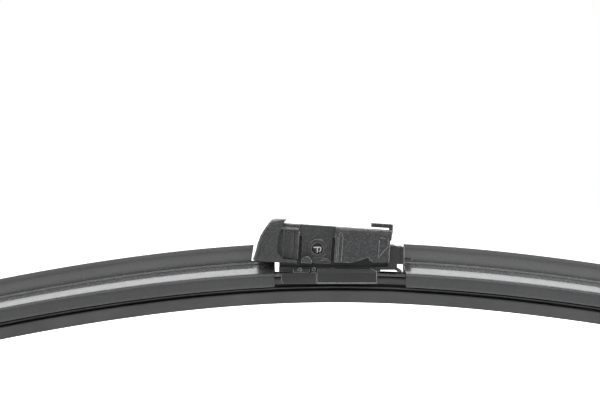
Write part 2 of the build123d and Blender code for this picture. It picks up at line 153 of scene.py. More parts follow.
def rounded(pts, r, n=3, before=None, after=None):
    """Outline with its corners rounded; r is one radius or a list. An open
    outline gives the points that come before and after it."""
    rs = r if isinstance(r, (list, tuple)) else [r] * len(pts)
    out = []
    m = len(pts)
    for i, p in enumerate(pts):
        p = Vector(p)
        a, b = Vector(pts[i - 1]), Vector(pts[(i + 1) % m])
        if i == 0 and before:
            a = Vector(before)
        if i == m - 1 and after:
            b = Vector(after)
        ua, ub = (a - p), (b - p)
        la, lb = ua.length, ub.length
        ua.normalize(); ub.normalize()
        dot = max(-1.0, min(1.0, ua.dot(ub)))
        ang = math.acos(dot)
        if rs[i] <= 0 or ang > math.radians(172):
            out.append(tuple(p)); continue
        d = min(rs[i] / math.tan(ang / 2), la * 0.45, lb * 0.45)
        rr = d * math.tan(ang / 2)
        c = p + (ua + ub).normalized() * (rr / math.sin(ang / 2))
        va, vb = (p + ua * d) - c, (p + ub * d) - c
        for k in range(n + 1):
            t = k / n
            v = (va * (1 - t) + vb * t)
            v.normalize()
            out.append(tuple(c + v * rr))
    return out


def area2(pts):
    return sum(pts[i - 1][0] * pts[i][1] - pts[i][0] * pts[i - 1][1] for i in range(len(pts)))


def finish_mesh(bm, name, sharp=38.0):
    bmesh.ops.recalc_face_normals(bm, faces=bm.faces)
    for f in bm.faces:
        f.smooth = True
    for e in bm.edges:
        if len(e.link_faces) == 2:
            e.smooth = e.calc_face_angle(0.0) < math.radians(sharp)
    me = bpy.data.meshes.new(name)
    bm.to_mesh(me)
    bm.free()
    ob = bpy.data.objects.new(name, me)
    SCENE.collection.objects.link(ob)
    return ob


def swept(name, outline, ss, hole=None, shape=None, sharp=38.0):
    """Closed solid: the (y, t) outline carried along the beam through ss.
    shape(s, y, t) may change the section along the way."""
    bm = bmesh.new()
    loops = [outline] + ([hole] if hole else [])
    rings = []
    for s in ss:
        ring = []
        for lp in loops:
            ring.append([bm.verts.new(place(s, *(shape(s, y, t) if shape else (y, t)))) for y, t in lp])
        rings.append(ring)
    for ra, rb in zip(rings[:-1], rings[1:]):
        for la, lb in zip(ra, rb):
            n = len(la)
            for i in range(n):
                bm.faces.new((la[i], la[(i + 1) % n], lb[(i + 1) % n], lb[i]))
    for ring in (rings[0], rings[-1]):
        flat = [Vector((y, t, 0)) for lp in loops for y, t in lp]
        verts = [v for lp in ring for v in lp]
        idx = 0
        veclists = []
        for lp in loops:
            veclists.append([Vector((y, t, 0)) for y, t in lp])
        for tri in tessellate_polygon(veclists):
            vs = [verts[i] for i in tri]
            if len(set(vs)) == 3:
                try:
                    bm.faces.new(vs)
                except ValueError:
                    pass
    return finish_mesh(bm, name, sharp)


def cut(ob, outlines, y0=-12.0, y1=12.0):
    """Cut prisms, (x, w) outlines in bracket-frame millimetres, off the piece."""
    for outline in outlines:
        bm = bmesh.new()
        rows = []
        for y in (y0, y1):
            row = []
            for x, w in outline:
                rx, rz = to_row(x, w)
                row.append(bm.verts.new((rx * MM, y * MM, rz * MM)))
            rows.append(row)
        n = len(outline)
        bm.faces.new(rows[0])
        bm.faces.new(rows[1][::-1])
        for i in range(n):
            bm.faces.new((rows[0][i], rows[0][(i + 1) % n], rows[1][(i + 1) % n], rows[1][i]))
        bmesh.ops.recalc_face_normals(bm, faces=bm.faces)
        me = bpy.data.meshes.new("cutter")
        bm.to_mesh(me); bm.free()
        cu = bpy.data.objects.new("cutter", me)
        SCENE.collection.objects.link(cu)
        mod = ob.modifiers.new("cut", "BOOLEAN")
        mod.operation = "DIFFERENCE"
        mod.solver = "EXACT"
        mod.object = cu
        apply_all(ob)
        bpy.data.objects.remove(cu)
    return ob


def apply_all(ob):
    bpy.context.view_layer.update()
    dg = bpy.context.evaluated_depsgraph_get()
    me = bpy.data.meshes.new_from_object(ob.evaluated_get(dg), preserve_all_data_layers=True, depsgraph=dg)
    old = ob.data
    ob.modifiers.clear()
    ob.data = me
    me.name = ob.name
    bpy.data.meshes.remove(old)


def resmooth(ob, sharp=38.0):
    bm = bmesh.new()
    bm.from_mesh(ob.data)
    bmesh.ops.remove_doubles(bm, verts=bm.verts, dist=1e-6)
    bmesh.ops.dissolve_degenerate(bm, edges=bm.edges, dist=1e-6)
    for f in bm.faces:
        f.smooth = True
    for e in bm.edges:
        if len(e.link_faces) == 2:
            e.smooth = e.calc_face_angle(0.0) < math.radians(sharp)
    bm.to_mesh(ob.data)
    bm.free()


def from_cad(node, bevel=0.16, segments=2, angle=28.0, extra=None):
    """A copy of a CAD node's surface with clean faces."""
    src = NODES[node]
    bm = bmesh.new()
    bm.from_mesh(src.data)
    bmesh.ops.remove_doubles(bm, verts=bm.verts, dist=2e-6)
    bmesh.ops.dissolve_limit(bm, angle_limit=math.radians(1.0), use_dissolve_boundaries=False,
                             verts=bm.verts, edges=bm.edges)
    for f in bm.faces:
        f.smooth = True
    me = bpy.data.meshes.new("v_" + node)
    bm.to_mesh(me)
    bm.free()
    ob = bpy.data.objects.new("v_" + node, me)
    SCENE.collection.objects.link(ob)
    return ob


BLANK = bpy.data.materials.new("blank_face")
# slot 1 marks the bevel faces that later take the lighter edge material: a painted highlight
BLANK_HIGHLIGHT_EDGE = bpy.data.materials.new("blank_highlight_edge")


def edge_choice(bm, width, angle):
    """Edges that can take the moulded radius without running into others."""
    chosen = {e for e in bm.edges if len(e.link_faces) == 2 and e.calc_face_angle(0.0) > math.radians(angle)}
    for _ in range(12):
        drop = set()
        for f in bm.faces:
            loops = list(f.loops)
            n = len(loops)
            for i, lp in enumerate(loops):
                need = 0.0
                near = []
                for here, there in ((lp, loops[i - 1]), (loops[(i + 1) % n], loops[(i + 1) % n])):
                    other = there.edge
                    if other not in chosen:
                        continue
                    th = here.calc_angle()
                    if not here.is_convex:
                        continue
                    need += width / math.tan(th / 2) if lp.edge in chosen else width / max(0.05, math.sin(th))
                    near.append(other)
                if near and need > 0.92 * lp.edge.calc_length():
                    drop.update(near)
                    if lp.edge in chosen and lp.edge.calc_length() < width:
                        drop.add(lp.edge)
        if not drop:
            break
        chosen -= drop
    return chosen


def folded(f):
    """True where a face's outline crosses itself or lies out of its plane."""
    pts = [v.co for v in f.verts]
    total = sum(((pts[b] - pts[a]).cross(pts[c] - pts[a])).length / 2
                for a, b, c in tessellate_polygon([pts]) if len({a, b, c}) == 3)
    return abs(total - f.calc_area()) > 1e-9 + 0.01 * f.calc_area()


def mould(ob, bevel, segments=2, angle=28.0):
    """Small moulded radius on the piece's edges, flat faces kept flat."""
    ob.data.materials.append(BLANK)
    ob.data.materials.append(BLANK_HIGHLIGHT_EDGE)
    src = bmesh.new()
    src.from_mesh(ob.data)
    src.normal_update()
    solid = src.copy()
    bmesh.ops.triangulate(solid, faces=solid.faces)
    tree = BVHTree.FromBMesh(solid)
    solid.free()
    chosen = edge_choice(src, bevel * MM, angle)
    keep = {e.index for e in chosen}
    result = None
    for trial in range(8):
        bm = src.copy()
        bm.edges.ensure_lookup_table()
        # the bevel faces go to slot 1, later given the lighter edge material: a painted highlight along the edges
        bmesh.ops.bevel(bm, geom=[bm.edges[i] for i in sorted(keep)], offset=bevel * MM, offset_type="OFFSET", segments=segments,
                        profile=0.5, affect="EDGES", clamp_overlap=False, material=1, miter_outer="SHARP")
        bm.normal_update()
        bad = []
        for f in bm.faces:
            if len(f.verts) > 4 and folded(f):
                bad.append(f)
                continue
            for v in f.verts:
                if tree.find_nearest(v.co)[3] > 0.9 * bevel * MM:
                    bad.append(f)
                    break
        if not bad:
            result = bm
            break
        src.verts.ensure_lookup_table()
        drop = set()
        for f in bad:
            nb = f.normal
            for g in src.faces:
                if abs(g.normal.dot(nb)) > 0.999 and abs((f.verts[0].co - g.verts[0].co).dot(g.normal)) < 2e-5:
                    lo, hi = g.calc_center_bounds(), f.calc_center_bounds()
                    if (lo - hi).length < 0.0015 or trial > 2:
                        drop.update(e.index for e in g.edges if e.index in keep and e.calc_length() < (0.0006, 0.0015, 1)[min(trial, 2)])
            if len(f.verts) <= 4:
                near = tree.find_nearest(f.calc_center_median())[0]
                drop.update(e.index for e in src.edges if e.index in keep and
                            min((v.co - near).length for v in e.verts) < (0.4 + 0.3 * trial) * MM)
        bm.free()
        if not drop and trial > 3:
            break
        keep -= drop
    print("MOULD", ob.name, "edges", len(chosen), "kept", len(keep), "trial", trial, "ok", result is not None)
    if result is None:
        result = src.copy()
    bmesh.ops.triangulate(result, faces=[f for f in result.faces if len(f.verts) > 4])
    result.to_mesh(ob.data)
    result.free()
    src.free()
    resmooth(ob, 50.0)
    wn = ob.modifiers.new("flat", "WEIGHTED_NORMAL")
    wn.mode = "FACE_AREA"
    wn.weight = 80
    wn.keep_sharp = True
    apply_all(ob)
    return ob


def round_top(ob):
    """The cap's top edges run over in a large soft radius."""
    bm = bmesh.new()
    bm.from_mesh(ob.data)
    chosen = []
    for e in bm.edges:
        ok = True
        for v in e.verts:
            rx, rz = v.co.x / MM, v.co.z / MM - LIFT
            x = rx * math.cos(TILT) - rz * math.sin(TILT) + BEAM_X
            w = rx * math.sin(TILT) + rz * math.cos(TILT) + BEAM_W
            dx, dw = x - PIVOT_X, w - PIVOT_W
            u = dx * math.cos(PITCH) - dw * math.sin(PITCH)
            t = dx * math.sin(PITCH) + dw * math.cos(PITCH)
            if abs(v.co.y) < 0.00963 or t < 7.4 or u < -14.6:
                ok = False
        if ok:
            chosen.append(e)
    bmesh.ops.bevel(bm, geom=chosen, offset=1.7 * MM, segments=6, profile=0.5, affect="EDGES", clamp_overlap=True)
    bm.to_mesh(ob.data)
    bm.free()


PIVOT_X, PIVOT_W, PITCH = -3.91, 7.68, math.radians(3.8)


def uv(u, v):
    return (PIVOT_X + u * math.cos(PITCH) + v * math.sin(PITCH), PIVOT_W - u * math.sin(PITCH) + v * math.cos(PITCH))


def bead(bm, a, b, y, r, h, sink=0.15):
    """Half-round rib from a to b, bracket-frame (x, w), standing h out of
    the side wall at |y|, on the front and on the rear."""
    d = Vector((b[0] - a[0], b[1] - a[1]))
    d.normalize()
    n = Vector((-d.y, d.x))
    sec = [(-r, -sink), (-r, 0.0), (-0.8 * r, 0.55 * h), (-0.4 * r, 0.9 * h), (0, h), (0.4 * r, 0.9 * h), (0.8 * r, 0.55 * h),
           (r, 0.0), (r, -sink)]
    for side in (-1, 1):
        rings = []
        for p, k in ((a, -0.5), (b, 0.5)):
            ring = []
            for off, out in sec:
                x = p[0] + d.x * r * k + n.x * off
                w = p[1] + d.y * r * k + n.y * off
                rx, rz = to_row(x, w)
                ring.append(bm.verts.new((rx * MM, side * (y + out) * MM, rz * MM)))
            rings.append(ring)
        m = len(sec)
        bm.faces.new(rings[0])
        bm.faces.new(rings[1][::-1])
        for i in range(m):
            bm.faces.new((rings[0][i], rings[0][(i + 1) % m], rings[1][(i + 1) % m], rings[1][i]))


def add_beads(ob, beads):
    bm = bmesh.new()
    for a, b, y, r, h in beads:
        bead(bm, a, b, y, r, h)
    bmesh.ops.recalc_face_normals(bm, faces=bm.faces)
    for f in bm.faces:
        f.smooth = True
    for e in bm.edges:
        e.smooth = e.calc_face_angle(0.0) < math.radians(50)
    # the beads all take slot 1, the lighter edge material: a painted highlight on the ribs
    for f in bm.faces:
        f.material_index = 1
    me = bpy.data.meshes.new("beads")
    bm.to_mesh(me)
    bm.free()
    me.materials.append(BLANK)
    me.materials.append(BLANK_HIGHLIGHT_EDGE)
    extra = bpy.data.objects.new("beads", me)
    SCENE.collection.objects.link(extra)
    with bpy.context.temp_override(active_object=ob, selected_editable_objects=[ob, extra], object=ob,
                                   selected_objects=[ob, extra]):
        bpy.ops.object.join()
    return ob


def register(ob, body, slot, *replaced):
    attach(ob, body)
    if replaced:
        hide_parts(*replaced)
    return ob


# --------------------------------------------------------------------- pieces
# spoiler section: fin's edge, concave face with its small step, skirt
FACE = spline([(5.13, 8.96), (4.98, 8.2), (4.82, 7.2), (4.62, 6.3), (4.42, 5.6), (4.16, 4.9), (3.88, 4.28), (3.62, 3.86)], 4)[:-1] + \
    [(3.62, 3.86), (3.48, 3.7), (3.32, 3.6), (3.1, 3.5), (2.96, 3.38), (2.92, 3.24)] + \
    spline([(2.86, 3.14), (2.2, 3.0), (1.0, 2.84), (-1.0, 2.62), (-2.9, 2.4)], 4)[:-1] + \
    spline([(-2.9, 2.4), (-3.4, 2.26), (-4.6, 1.82), (-5.8, 1.33), (-6.7, 0.95), (-7.1, 0.74), (-7.34, 0.45),
            (-7.46, -0.05), (-7.5, -0.8), (-7.5, -2.6)], 4)
UNDER = rounded([
    (-7.5, -3.4), (-6.4, -3.4), (-6.4, -1.5), (-4.6, -1.5), (-4.6, -0.52),
    (-6.12, -0.52), (-6.12, 0.52), (-2.5, 0.52), (-2.5, 1.4), (2.5, 1.4), (2.5, 0.52),
    (6.12, 0.52), (6.12, -0.52), (4.6, -0.52), (4.6, -1.5), (6.4, -1.5), (6.4, -3.4),
    (7.5, -3.4)], [0.28, 0.25, 0.2, 0.12, 0.12, 0.05, 0.05, 0.1, 0.2, 0.2, 0.1, 0.05, 0.05, 0.12, 0.12, 0.2, 0.25, 0.28], 3,
    (-7.5, -2.6), (7.5, -2.6))
BACK = spline([(7.5, -2.6), (7.5, -0.6), (7.46, 0.4), (7.2, 1.6), (6.85, 3.2), (6.5, 5.0), (6.2, 7.2), (5.99, 8.84)], 3) + \
    [(5.9, 9.02), (5.72, 9.14), (5.5, 9.18), (5.28, 9.12)]
SPOILER = FACE + UNDER + BACK
CHANNEL = rounded([(3.2, 1.35), (6.3, 1.35), (5.75, 4.7), (5.2, 4.7), (4.4, 3.6), (3.2, 2.6)], 0.25, 3)

S_LEFT = s_of_x(to_row(-16.7, 0)[0])
S_RIGHT = s_of_x(to_row(22.5, 0)[0])
spoiler_left = swept("spoiler_left_shell", SPOILER, stations(-283.0, S_LEFT), hole=CHANNEL)
cut(spoiler_left, [[(-24.0, 3.7), (-10, 3.7), (-10, 14), (-22.35, 14), (-23.1, 9.5)],
                   [(-16.7, -8), (-10, -8), (-10, 14), (-16.7, 14)]])
resmooth(spoiler_left)
spoiler_right = swept("spoiler_right_shell", SPOILER, stations(S_RIGHT - 0.3, 283.0), hole=CHANNEL)
cut(spoiler_right, [[(15, -8), (22.5, -8), (22.5, 14), (15, 14)]])
resmooth(spoiler_right)

RUBBER = [(2.1, 0.72), (2.1, 0.52), (1.25, 0.5), (1.25, -0.5), (3.2, -0.85), (3.2, -1.5),
          (2.5, -2.95), (0.6, -3.1), (0.5, -3.66), (2.7, -3.84), (2.7, -4.34), (0.5, -4.6),
          (0.5, -4.92), (2.75, -5.04), (2.75, -5.5), (1.85, -6.7), (1.0, -7.8), (0.35, -8.9)]
RR = [0.2, 0.05, 0.05, 0.05, 0.22, 0.22, 0.25, 0.2, 0.2, 0.22, 0.22, 0.12, 0.12, 0.18, 0.2, 0.5, 0.5, 0.0]
RUBBER_ALL = rounded(RUBBER + [(-y, t) for y, t in reversed(RUBBER)], RR + RR[::-1], 4)
rubber = swept("wiping_element", RUBBER_ALL, stations(-299.0, 299.0))

RAIL = rounded([(1.35, RAIL_R2), (1.35, -RAIL_R2), (6.0, -RAIL_R2), (6.0, RAIL_R2)], 0.16, 3)
rail_rear = swept("rail_rear", RAIL, stations(-297.0, 297.0))
rail_front = swept("rail_front", [(-y, t) for y, t in RAIL], stations(-297.0, 297.0))

# end caps: the spoiler's outline, falling to a rounded nose
CAP_TOP = spline([(5.13, 8.96), (4.98, 8.2), (4.78, 7.0), (4.52, 6.1), (4.24, 5.4), (3.8, 4.62), (3.1, 3.78),
                  (2.2, 3.42), (1.0, 3.18), (-1.0, 2.85), (-3.0, 2.4), (-4.5, 2.0), (-5.6, 1.62),
                  (-6.4, 1.2), (-7.0, 0.75), (-7.35, 0.25), (-7.48, -0.4), (-7.5, -1.2), (-7.5, -2.6)], 3)
CAP_UNDER = rounded([
    (-7.5, -3.66), (-4.3, -3.66), (-4.3, -0.52), (-6.1, -0.52), (-6.1, 0.52), (-2.5, 0.52), (-2.5, 1.4),
    (2.5, 1.4), (2.5, 0.52), (6.1, 0.52), (6.1, -0.52), (4.3, -0.52), (4.3, -3.66), (7.5, -3.66)],
    [0.3, 0.3, 0.15, 0.05, 0.05, 0.1, 0.2, 0.2, 0.1, 0.05, 0.05, 0.15, 0.3, 0.3], 3, (-7.5, -2.6), (7.5, -2.6))
CAP_SOLID = rounded([(-7.5, -3.66), (7.5, -3.66)], 0.3, 3, (-7.5, -2.6), (7.5, -2.6))


def cap_fall(d):
    """Height of the cap's top edge above the rails, d from its open end."""
    pts = [(0.0, 9.18), (3.0, 9.05), (6.0, 8.1), (9.0, 6.6), (12.0, 4.8), (15.0, 3.4), (17.0, 2.4), (18.6, 1.0)]
    for (a, ha), (b, hb) in zip(pts[:-1], pts[1:]):
        if a <= d <= b:
            u = (d - a) / (b - a)
            u = u * u * (3 - 2 * u) * 0.35 + u * 0.65
            return ha + (hb - ha) * u
    return pts[-1][1]


def end_cap(side, name):
    a, wall, end = 283.15, 299.6, 301.5

    def shaped(s, y, t):
        d = abs(s) - a
        h = cap_fall(max(0.0, d))
        if t > 0.55:
            k = (h - 0.55) / (9.18 - 0.55)
            flat = max(0.0, 1.0 - h / 9.18)
            t2 = 0.55 + (t - 0.55) * k
            # as the fin goes, the top becomes a plain crown across the width
            crown = 0.55 + (h - 0.55) * max(0.0, 1 - (y / 8.2) ** 2) ** 0.5
            if abs(y) > 2.6 or t > 1.5:
                t2 = t2 * (1 - flat) + min(crown, h) * flat if t > 1.45 else t2
            t = t2
        dn = abs(s) - 295.5
        if dn > 0:
            u = min(1.0, dn / (end - 295.5))
            q = math.sqrt(max(0.0, 1 - u * u))
            q = 0.42 + 0.58 * q
            if abs(y) > 4.3:
                y = math.copysign(4.3 + (abs(y) - 4.3) * q, y)
            if t < -0.6 and u > 0.35:
                t = -0.6 + (t + 0.6) * (1 - 0.30 * (u - 0.35) / 0.65)
            if t > 1.45:
                t = 1.45 + (t - 1.45) * q
        return y, t

    def ss(lo, hi, step=0.9):
        return [side * v for v in stations(lo, hi, step)]

    outline = CAP_TOP + CAP_UNDER + BACK
    body = swept(name, outline, ss(a, wall), shape=shaped)
    solid = CAP_TOP + CAP_SOLID + BACK
    tail = swept(name + "_nose", solid, ss(wall - 0.05, end, 0.4), shape=shaped)
    mod = body.modifiers.new("join", "BOOLEAN")
    mod.operation = "UNION"
    mod.solver = "EXACT"
    mod.object = tail
    apply_all(body)
    bpy.data.objects.remove(tail)
    resmooth(body)
    return body


cap_l = end_cap(-1, "end_cap_left_shell")
cap_r = end_cap(+1, "end_cap_right_shell")

adaptor = from_cad("adaptor_body")
cut(adaptor, [[uv(4.6, -5), uv(24, -5), uv(24, 7.5), uv(4.6, 7.5)]], -12, -8.5)
cut(adaptor, [[uv(4.6, -5), uv(24, -5), uv(24, 7.5), uv(4.6, 7.5)]], 8.5, 12)
mould(adaptor, 0.17)
ring = [(6.65 + 0.52 * math.cos(math.radians(a)), 4.75 + 0.52 * math.sin(math.radians(a))) for a in range(0, 361, 40)]
lines = [((5.75, -3.3), (5.75, 4.1)), ((7.3, -3.1), (7.3, 4.1)), ((6.2, -3.1), (6.2, 3.9)),
         ((18.2, -1.2), (18.2, 3.9)), ((20.85, 2.1), (20.85, 4.5)), ((18.2, -1.3), (20.85, 2.1)),
         ((21.35, -2.45), (21.35, 3.7)), ((18.5, 4.55), (19.9, 4.5))]
lines += list(zip(ring[:-1], ring[1:]))
beads = [(uv(*a), uv(*b), 8.5, 0.17, 0.17) for a, b in lines]
beads += [(uv(-12.6, 5.52), uv(-6.1, 5.52), 7.93, 0.34, 0.42)]
add_beads(adaptor, beads)
nose = from_cad("nose_cap")
round_top(nose)
mould(nose, 0.24, 3, 24.0)
for v in nose.data.vertices:
    v.co.y = max(CAD_LO[1], min(CAD_HI[1], v.co.y))
tongue = mould(from_cad("latch_tongue"), 0.18)
bracket = mould(from_cad("base_bracket"), 0.17)
clip_f = mould(from_cad("base_clip_front"), 0.2)
clip_r = mould(from_cad("base_clip_rear"), 0.2)
pin = mould(from_cad("pivot_pin"), 0.06)

register(rubber, "blade", "rubber_black", "wiper_rubber")
register(rail_front, "blade", "rail_steel", "spring_rail_front")
register(rail_rear, "blade", "rail_steel", "spring_rail_rear")
register(spoiler_left, "blade", "spoiler_plastic", "spoiler_left")
register(spoiler_right, "blade", "spoiler_plastic", "spoiler_right")
register(cap_l, "blade", "cap_plastic", "end_cap_left")
register(cap_r, "blade", "cap_plastic", "end_cap_right")
register(bracket, "blade", "bracket_plastic", "base_bracket")
register(clip_f, "blade", "bracket_plastic", "base_clip_front")
register(clip_r, "blade", "bracket_plastic", "base_clip_rear")
register(pin, "blade", "pin_plastic", "pivot_pin")
register(adaptor, "adaptor", "adaptor_plastic", "adaptor_body")
register(nose, "adaptor", "adaptor_plastic", "nose_cap")
register(tongue, "latch", "adaptor_plastic", "latch_tongue")


# ------------------------------------------------------------------ materials
def nodes_of(mat):
    mat.use_nodes = True
    nt = mat.node_tree
    bsdf = next(n for n in nt.nodes if n.type == "BSDF_PRINCIPLED")
    return nt, bsdf


def link(nt, a, b):
    nt.links.new(a, b)


def noise(nt, coord, scale, detail=4.0, rough=0.55, stretch=None):
    src = coord
    if stretch:
        mp = nt.nodes.new("ShaderNodeMapping")
        mp.inputs["Scale"].default_value = stretch
        link(nt, coord, mp.inputs["Vector"])
        src = mp.outputs["Vector"]
    n = nt.nodes.new("ShaderNodeTexNoise")
    n.inputs["Scale"].default_value = scale
    n.inputs["Detail"].default_value = detail
    n.inputs["Roughness"].default_value = rough
    link(nt, src, n.inputs["Vector"])
    return n.outputs["Fac"]


def ramp(nt, fac, lo, hi, a=0.3, b=0.7):
    r = nt.nodes.new("ShaderNodeMapRange")
    r.inputs["From Min"].default_value = a
    r.inputs["From Max"].default_value = b
    r.inputs["To Min"].default_value = lo
    r.inputs["To Max"].default_value = hi
    link(nt, fac, r.inputs["Value"])
    return r.outputs["Result"]


def mix_rgb(nt, fac, a, b):
    m = nt.nodes.new("ShaderNodeMix")
    m.data_type = "RGBA"
    for sock, v in ((m.inputs[6], a), (m.inputs[7], b)):
        if isinstance(v, tuple):
            sock.default_value = (v[0], v[1], v[2], 1)
        else:
            link(nt, v, sock)
    link(nt, fac, m.inputs[0])
    return m.outputs[2]


def bumps(nt, bsdf, layers):
    last = None
    for height, strength, dist in layers:
        b = nt.nodes.new("ShaderNodeBump")
        b.inputs["Strength"].default_value = strength
        b.inputs["Distance"].default_value = dist
        link(nt, height, b.inputs["Height"])
        if last is not None:
            link(nt, last, b.inputs["Normal"])
        last = b.outputs["Normal"]
    link(nt, last, bsdf.inputs["Normal"])


def plastic(name, dark, light, rough, spread, grain=5200.0, grain_bump=0.22, streak=None, spec=0.5, speck=0.25):
    mat = bpy.data.materials.new(name)
    nt, bsdf = nodes_of(mat)
    tc = nt.nodes.new("ShaderNodeTexCoord")
    co = tc.outputs["Object"]
    cloud = noise(nt, co, 55.0, 3.0)
    fine = noise(nt, co, grain, 2.0, 0.5)
    mott = noise(nt, co, 420.0, 4.0, 0.6)
    c1 = mix_rgb(nt, ramp(nt, cloud, 0, 1), dark, light)
    c2 = mix_rgb(nt, ramp(nt, fine, 0.0, speck, 0.40, 0.72), c1, tuple(min(1.0, v * 2.6) for v in light))
    link(nt, c2, bsdf.inputs["Base Color"])
    r1 = ramp(nt, mott, rough - spread, rough + spread, 0.3, 0.7)
    link(nt, r1, bsdf.inputs["Roughness"])
    bsdf.inputs["Specular IOR Level"].default_value = spec
    layers = [(mott, 0.10, 0.00006), (fine, grain_bump, 0.00003)]
    if streak:
        st = noise(nt, co, 1.0, 3.0, 0.6, stretch=streak)
        layers.insert(0, (st, 0.12, 0.00003))
    bumps(nt, bsdf, layers)
    return mat


def steel(name):
    mat = bpy.data.materials.new(name)
    nt, bsdf = nodes_of(mat)
    tc = nt.nodes.new("ShaderNodeTexCoord")
    co = tc.outputs["Object"]
    st = noise(nt, co, 1.0, 4.0, 0.6, stretch=(60.0, 3500.0, 3500.0))
    cloud = noise(nt, co, 90.0, 4.0)
    c = mix_rgb(nt, ramp(nt, cloud, 0, 1), (0.10, 0.102, 0.106), (0.17, 0.173, 0.178))
    link(nt, c, bsdf.inputs["Base Color"])
    bsdf.inputs["Metallic"].default_value = 1.0
    link(nt, ramp(nt, st, 0.24, 0.40), bsdf.inputs["Roughness"])
    bumps(nt, bsdf, [(st, 0.3, 0.00003)])
    return mat


def rubber_mat(name):
    mat = bpy.data.materials.new(name)
    nt, bsdf = nodes_of(mat)
    tc = nt.nodes.new("ShaderNodeTexCoord")
    co = tc.outputs["Object"]
    st = noise(nt, co, 1.0, 3.0, 0.55, stretch=(40.0, 2600.0, 2600.0))
    fine = noise(nt, co, 4200.0, 3.0, 0.6)
    cloud = noise(nt, co, 70.0, 3.0)
    c = mix_rgb(nt, ramp(nt, cloud, 0, 1), (0.046, 0.0465, 0.048), (0.070, 0.0705, 0.072))
    c = mix_rgb(nt, ramp(nt, fine, 0.0, 0.3, 0.45, 0.75), c, (0.085, 0.085, 0.086))
    link(nt, c, bsdf.inputs["Base Color"])
    link(nt, ramp(nt, st, 0.42, 0.58), bsdf.inputs["Roughness"])
    bsdf.inputs["Specular IOR Level"].default_value = 0.45
    bumps(nt, bsdf, [(st, 0.25, 0.00003), (fine, 0.18, 0.00002)])
    return mat


def paint_pin_bore_highlight(mat, axis_x, axis_z, radius, light):
    """Inside the radius about the pivot axis the colour is painted pale: a painted highlight in the pin's bore."""
    nt = mat.node_tree
    bsdf = next(n for n in nt.nodes if n.type == "BSDF_PRINCIPLED")
    base = bsdf.inputs["Base Color"].links[0].from_socket
    tc = nt.nodes.new("ShaderNodeTexCoord")
    sep = nt.nodes.new("ShaderNodeSeparateXYZ")
    link(nt, tc.outputs["Object"], sep.inputs[0])

    def op(kind, x, y):
        m = nt.nodes.new("ShaderNodeMath")
        m.operation = kind
        for sock, v in zip(m.inputs, (x, y)):
            if isinstance(v, (int, float)):
                sock.default_value = v
            else:
                link(nt, v, sock)
        return m.outputs[0]

    dx = op("SUBTRACT", sep.outputs["X"], axis_x)
    dz = op("SUBTRACT", sep.outputs["Z"], axis_z)
    rr = op("SQRT", op("ADD", op("MULTIPLY", dx, dx), op("MULTIPLY", dz, dz)), 0.0)
    c = mix_rgb(nt, op("LESS_THAN", rr, radius), base, light)
    link(nt, c, bsdf.inputs["Base Color"])


M_ADAPTOR = plastic("adaptor_grain", (0.026, 0.0265, 0.028), (0.036, 0.0365, 0.038), 0.46, 0.07, grain=2300.0,
                    grain_bump=0.7, speck=0.75)
M_BRACKET = plastic("bracket_grain", (0.020, 0.0205, 0.022), (0.027, 0.0275, 0.029), 0.36, 0.05, grain=3600.0,
                    grain_bump=0.2, speck=0.35)
M_SPOILER = plastic("spoiler_satin", (0.060, 0.061, 0.063), (0.072, 0.073, 0.075), 0.26, 0.03, grain=6500.0,
                    grain_bump=0.06, streak=(30.0, 1500.0, 1500.0), speck=0.1)
# lighter copies of the adaptor and bracket plastics for the moulded edges and beads: a painted highlight along the
# edges
M_ADAPTOR_EDGE_HIGHLIGHT = plastic("adaptor_edge_painted_highlight", (0.075, 0.0755, 0.077), (0.13, 0.1305, 0.132), 0.30, 0.06, grain=2300.0,
                         grain_bump=0.3, speck=0.5)
M_BRACKET_EDGE_HIGHLIGHT = plastic("bracket_edge_painted_highlight", (0.10, 0.1005, 0.102), (0.17, 0.1705, 0.172), 0.28, 0.05, grain=3600.0,
                         grain_bump=0.2, speck=0.4)
M_CAP = plastic("end_cap_satin", (0.045, 0.0455, 0.047), (0.058, 0.0585, 0.06), 0.40, 0.05, grain=5200.0, grain_bump=0.18)
M_PIN = plastic("pin_satin", (0.014, 0.0145, 0.015), (0.020, 0.0205, 0.021), 0.36, 0.05, grain=5200.0, grain_bump=0.12)
# painted highlight: pale grey inside 1.21 mm of the pivot axis, in the pin's bore
paint_pin_bore_highlight(M_PIN, 0.0029136, 0.0734192, 0.00121, (0.62, 0.62, 0.62))
M_RAIL = steel("rail_steel")
M_RUBBER = rubber_mat("wiping_rubber")


def paint(ob, mat, edge=None):
    """Main finish, and a lighter copy of it on the moulded edges and beads: a painted highlight along them."""
    keep = [p.material_index for p in ob.data.polygons]
    ob.data.materials.clear()
    ob.data.materials.append(mat)
    if edge:
        ob.data.materials.append(edge)
    for p, k in zip(ob.data.polygons, keep):
        p.material_index = 1 if (edge and k == 1) else 0


for ob, mat, edge in ((adaptor, M_ADAPTOR, M_ADAPTOR_EDGE_HIGHLIGHT), (nose, M_ADAPTOR, M_ADAPTOR_EDGE_HIGHLIGHT), (tongue, M_ADAPTOR, M_ADAPTOR_EDGE_HIGHLIGHT),
                      (bracket, M_BRACKET, M_BRACKET_EDGE_HIGHLIGHT), (clip_f, M_BRACKET, M_BRACKET_EDGE_HIGHLIGHT),
                      (clip_r, M_BRACKET, M_BRACKET_EDGE_HIGHLIGHT), (pin, M_PIN, None), (spoiler_left, M_SPOILER, None),
                      (spoiler_right, M_SPOILER, None), (cap_l, M_CAP, None), (cap_r, M_CAP, None),
                      (rubber, M_RUBBER, None), (rail_front, M_RAIL, None), (rail_rear, M_RAIL, None)):
    paint(ob, mat, edge)
CAD_MATS = {"rubber_black": M_RUBBER, "rail_steel": M_RAIL, "spoiler_plastic": M_SPOILER, "cap_plastic": M_CAP,
            "bracket_plastic": M_BRACKET, "pin_plastic": M_PIN, "adaptor_plastic": M_ADAPTOR}
SLOT_OF = {s["node"]: s["material_slot"] for s in frame["record"]["subparts"]}
for name, ob in NODES.items():
    m = CAD_MATS.get(SLOT_OF.get(name), M_ADAPTOR)
    if not ob.material_slots:
        ob.data.materials.append(m)
    for sl in ob.material_slots:
        sl.material = m

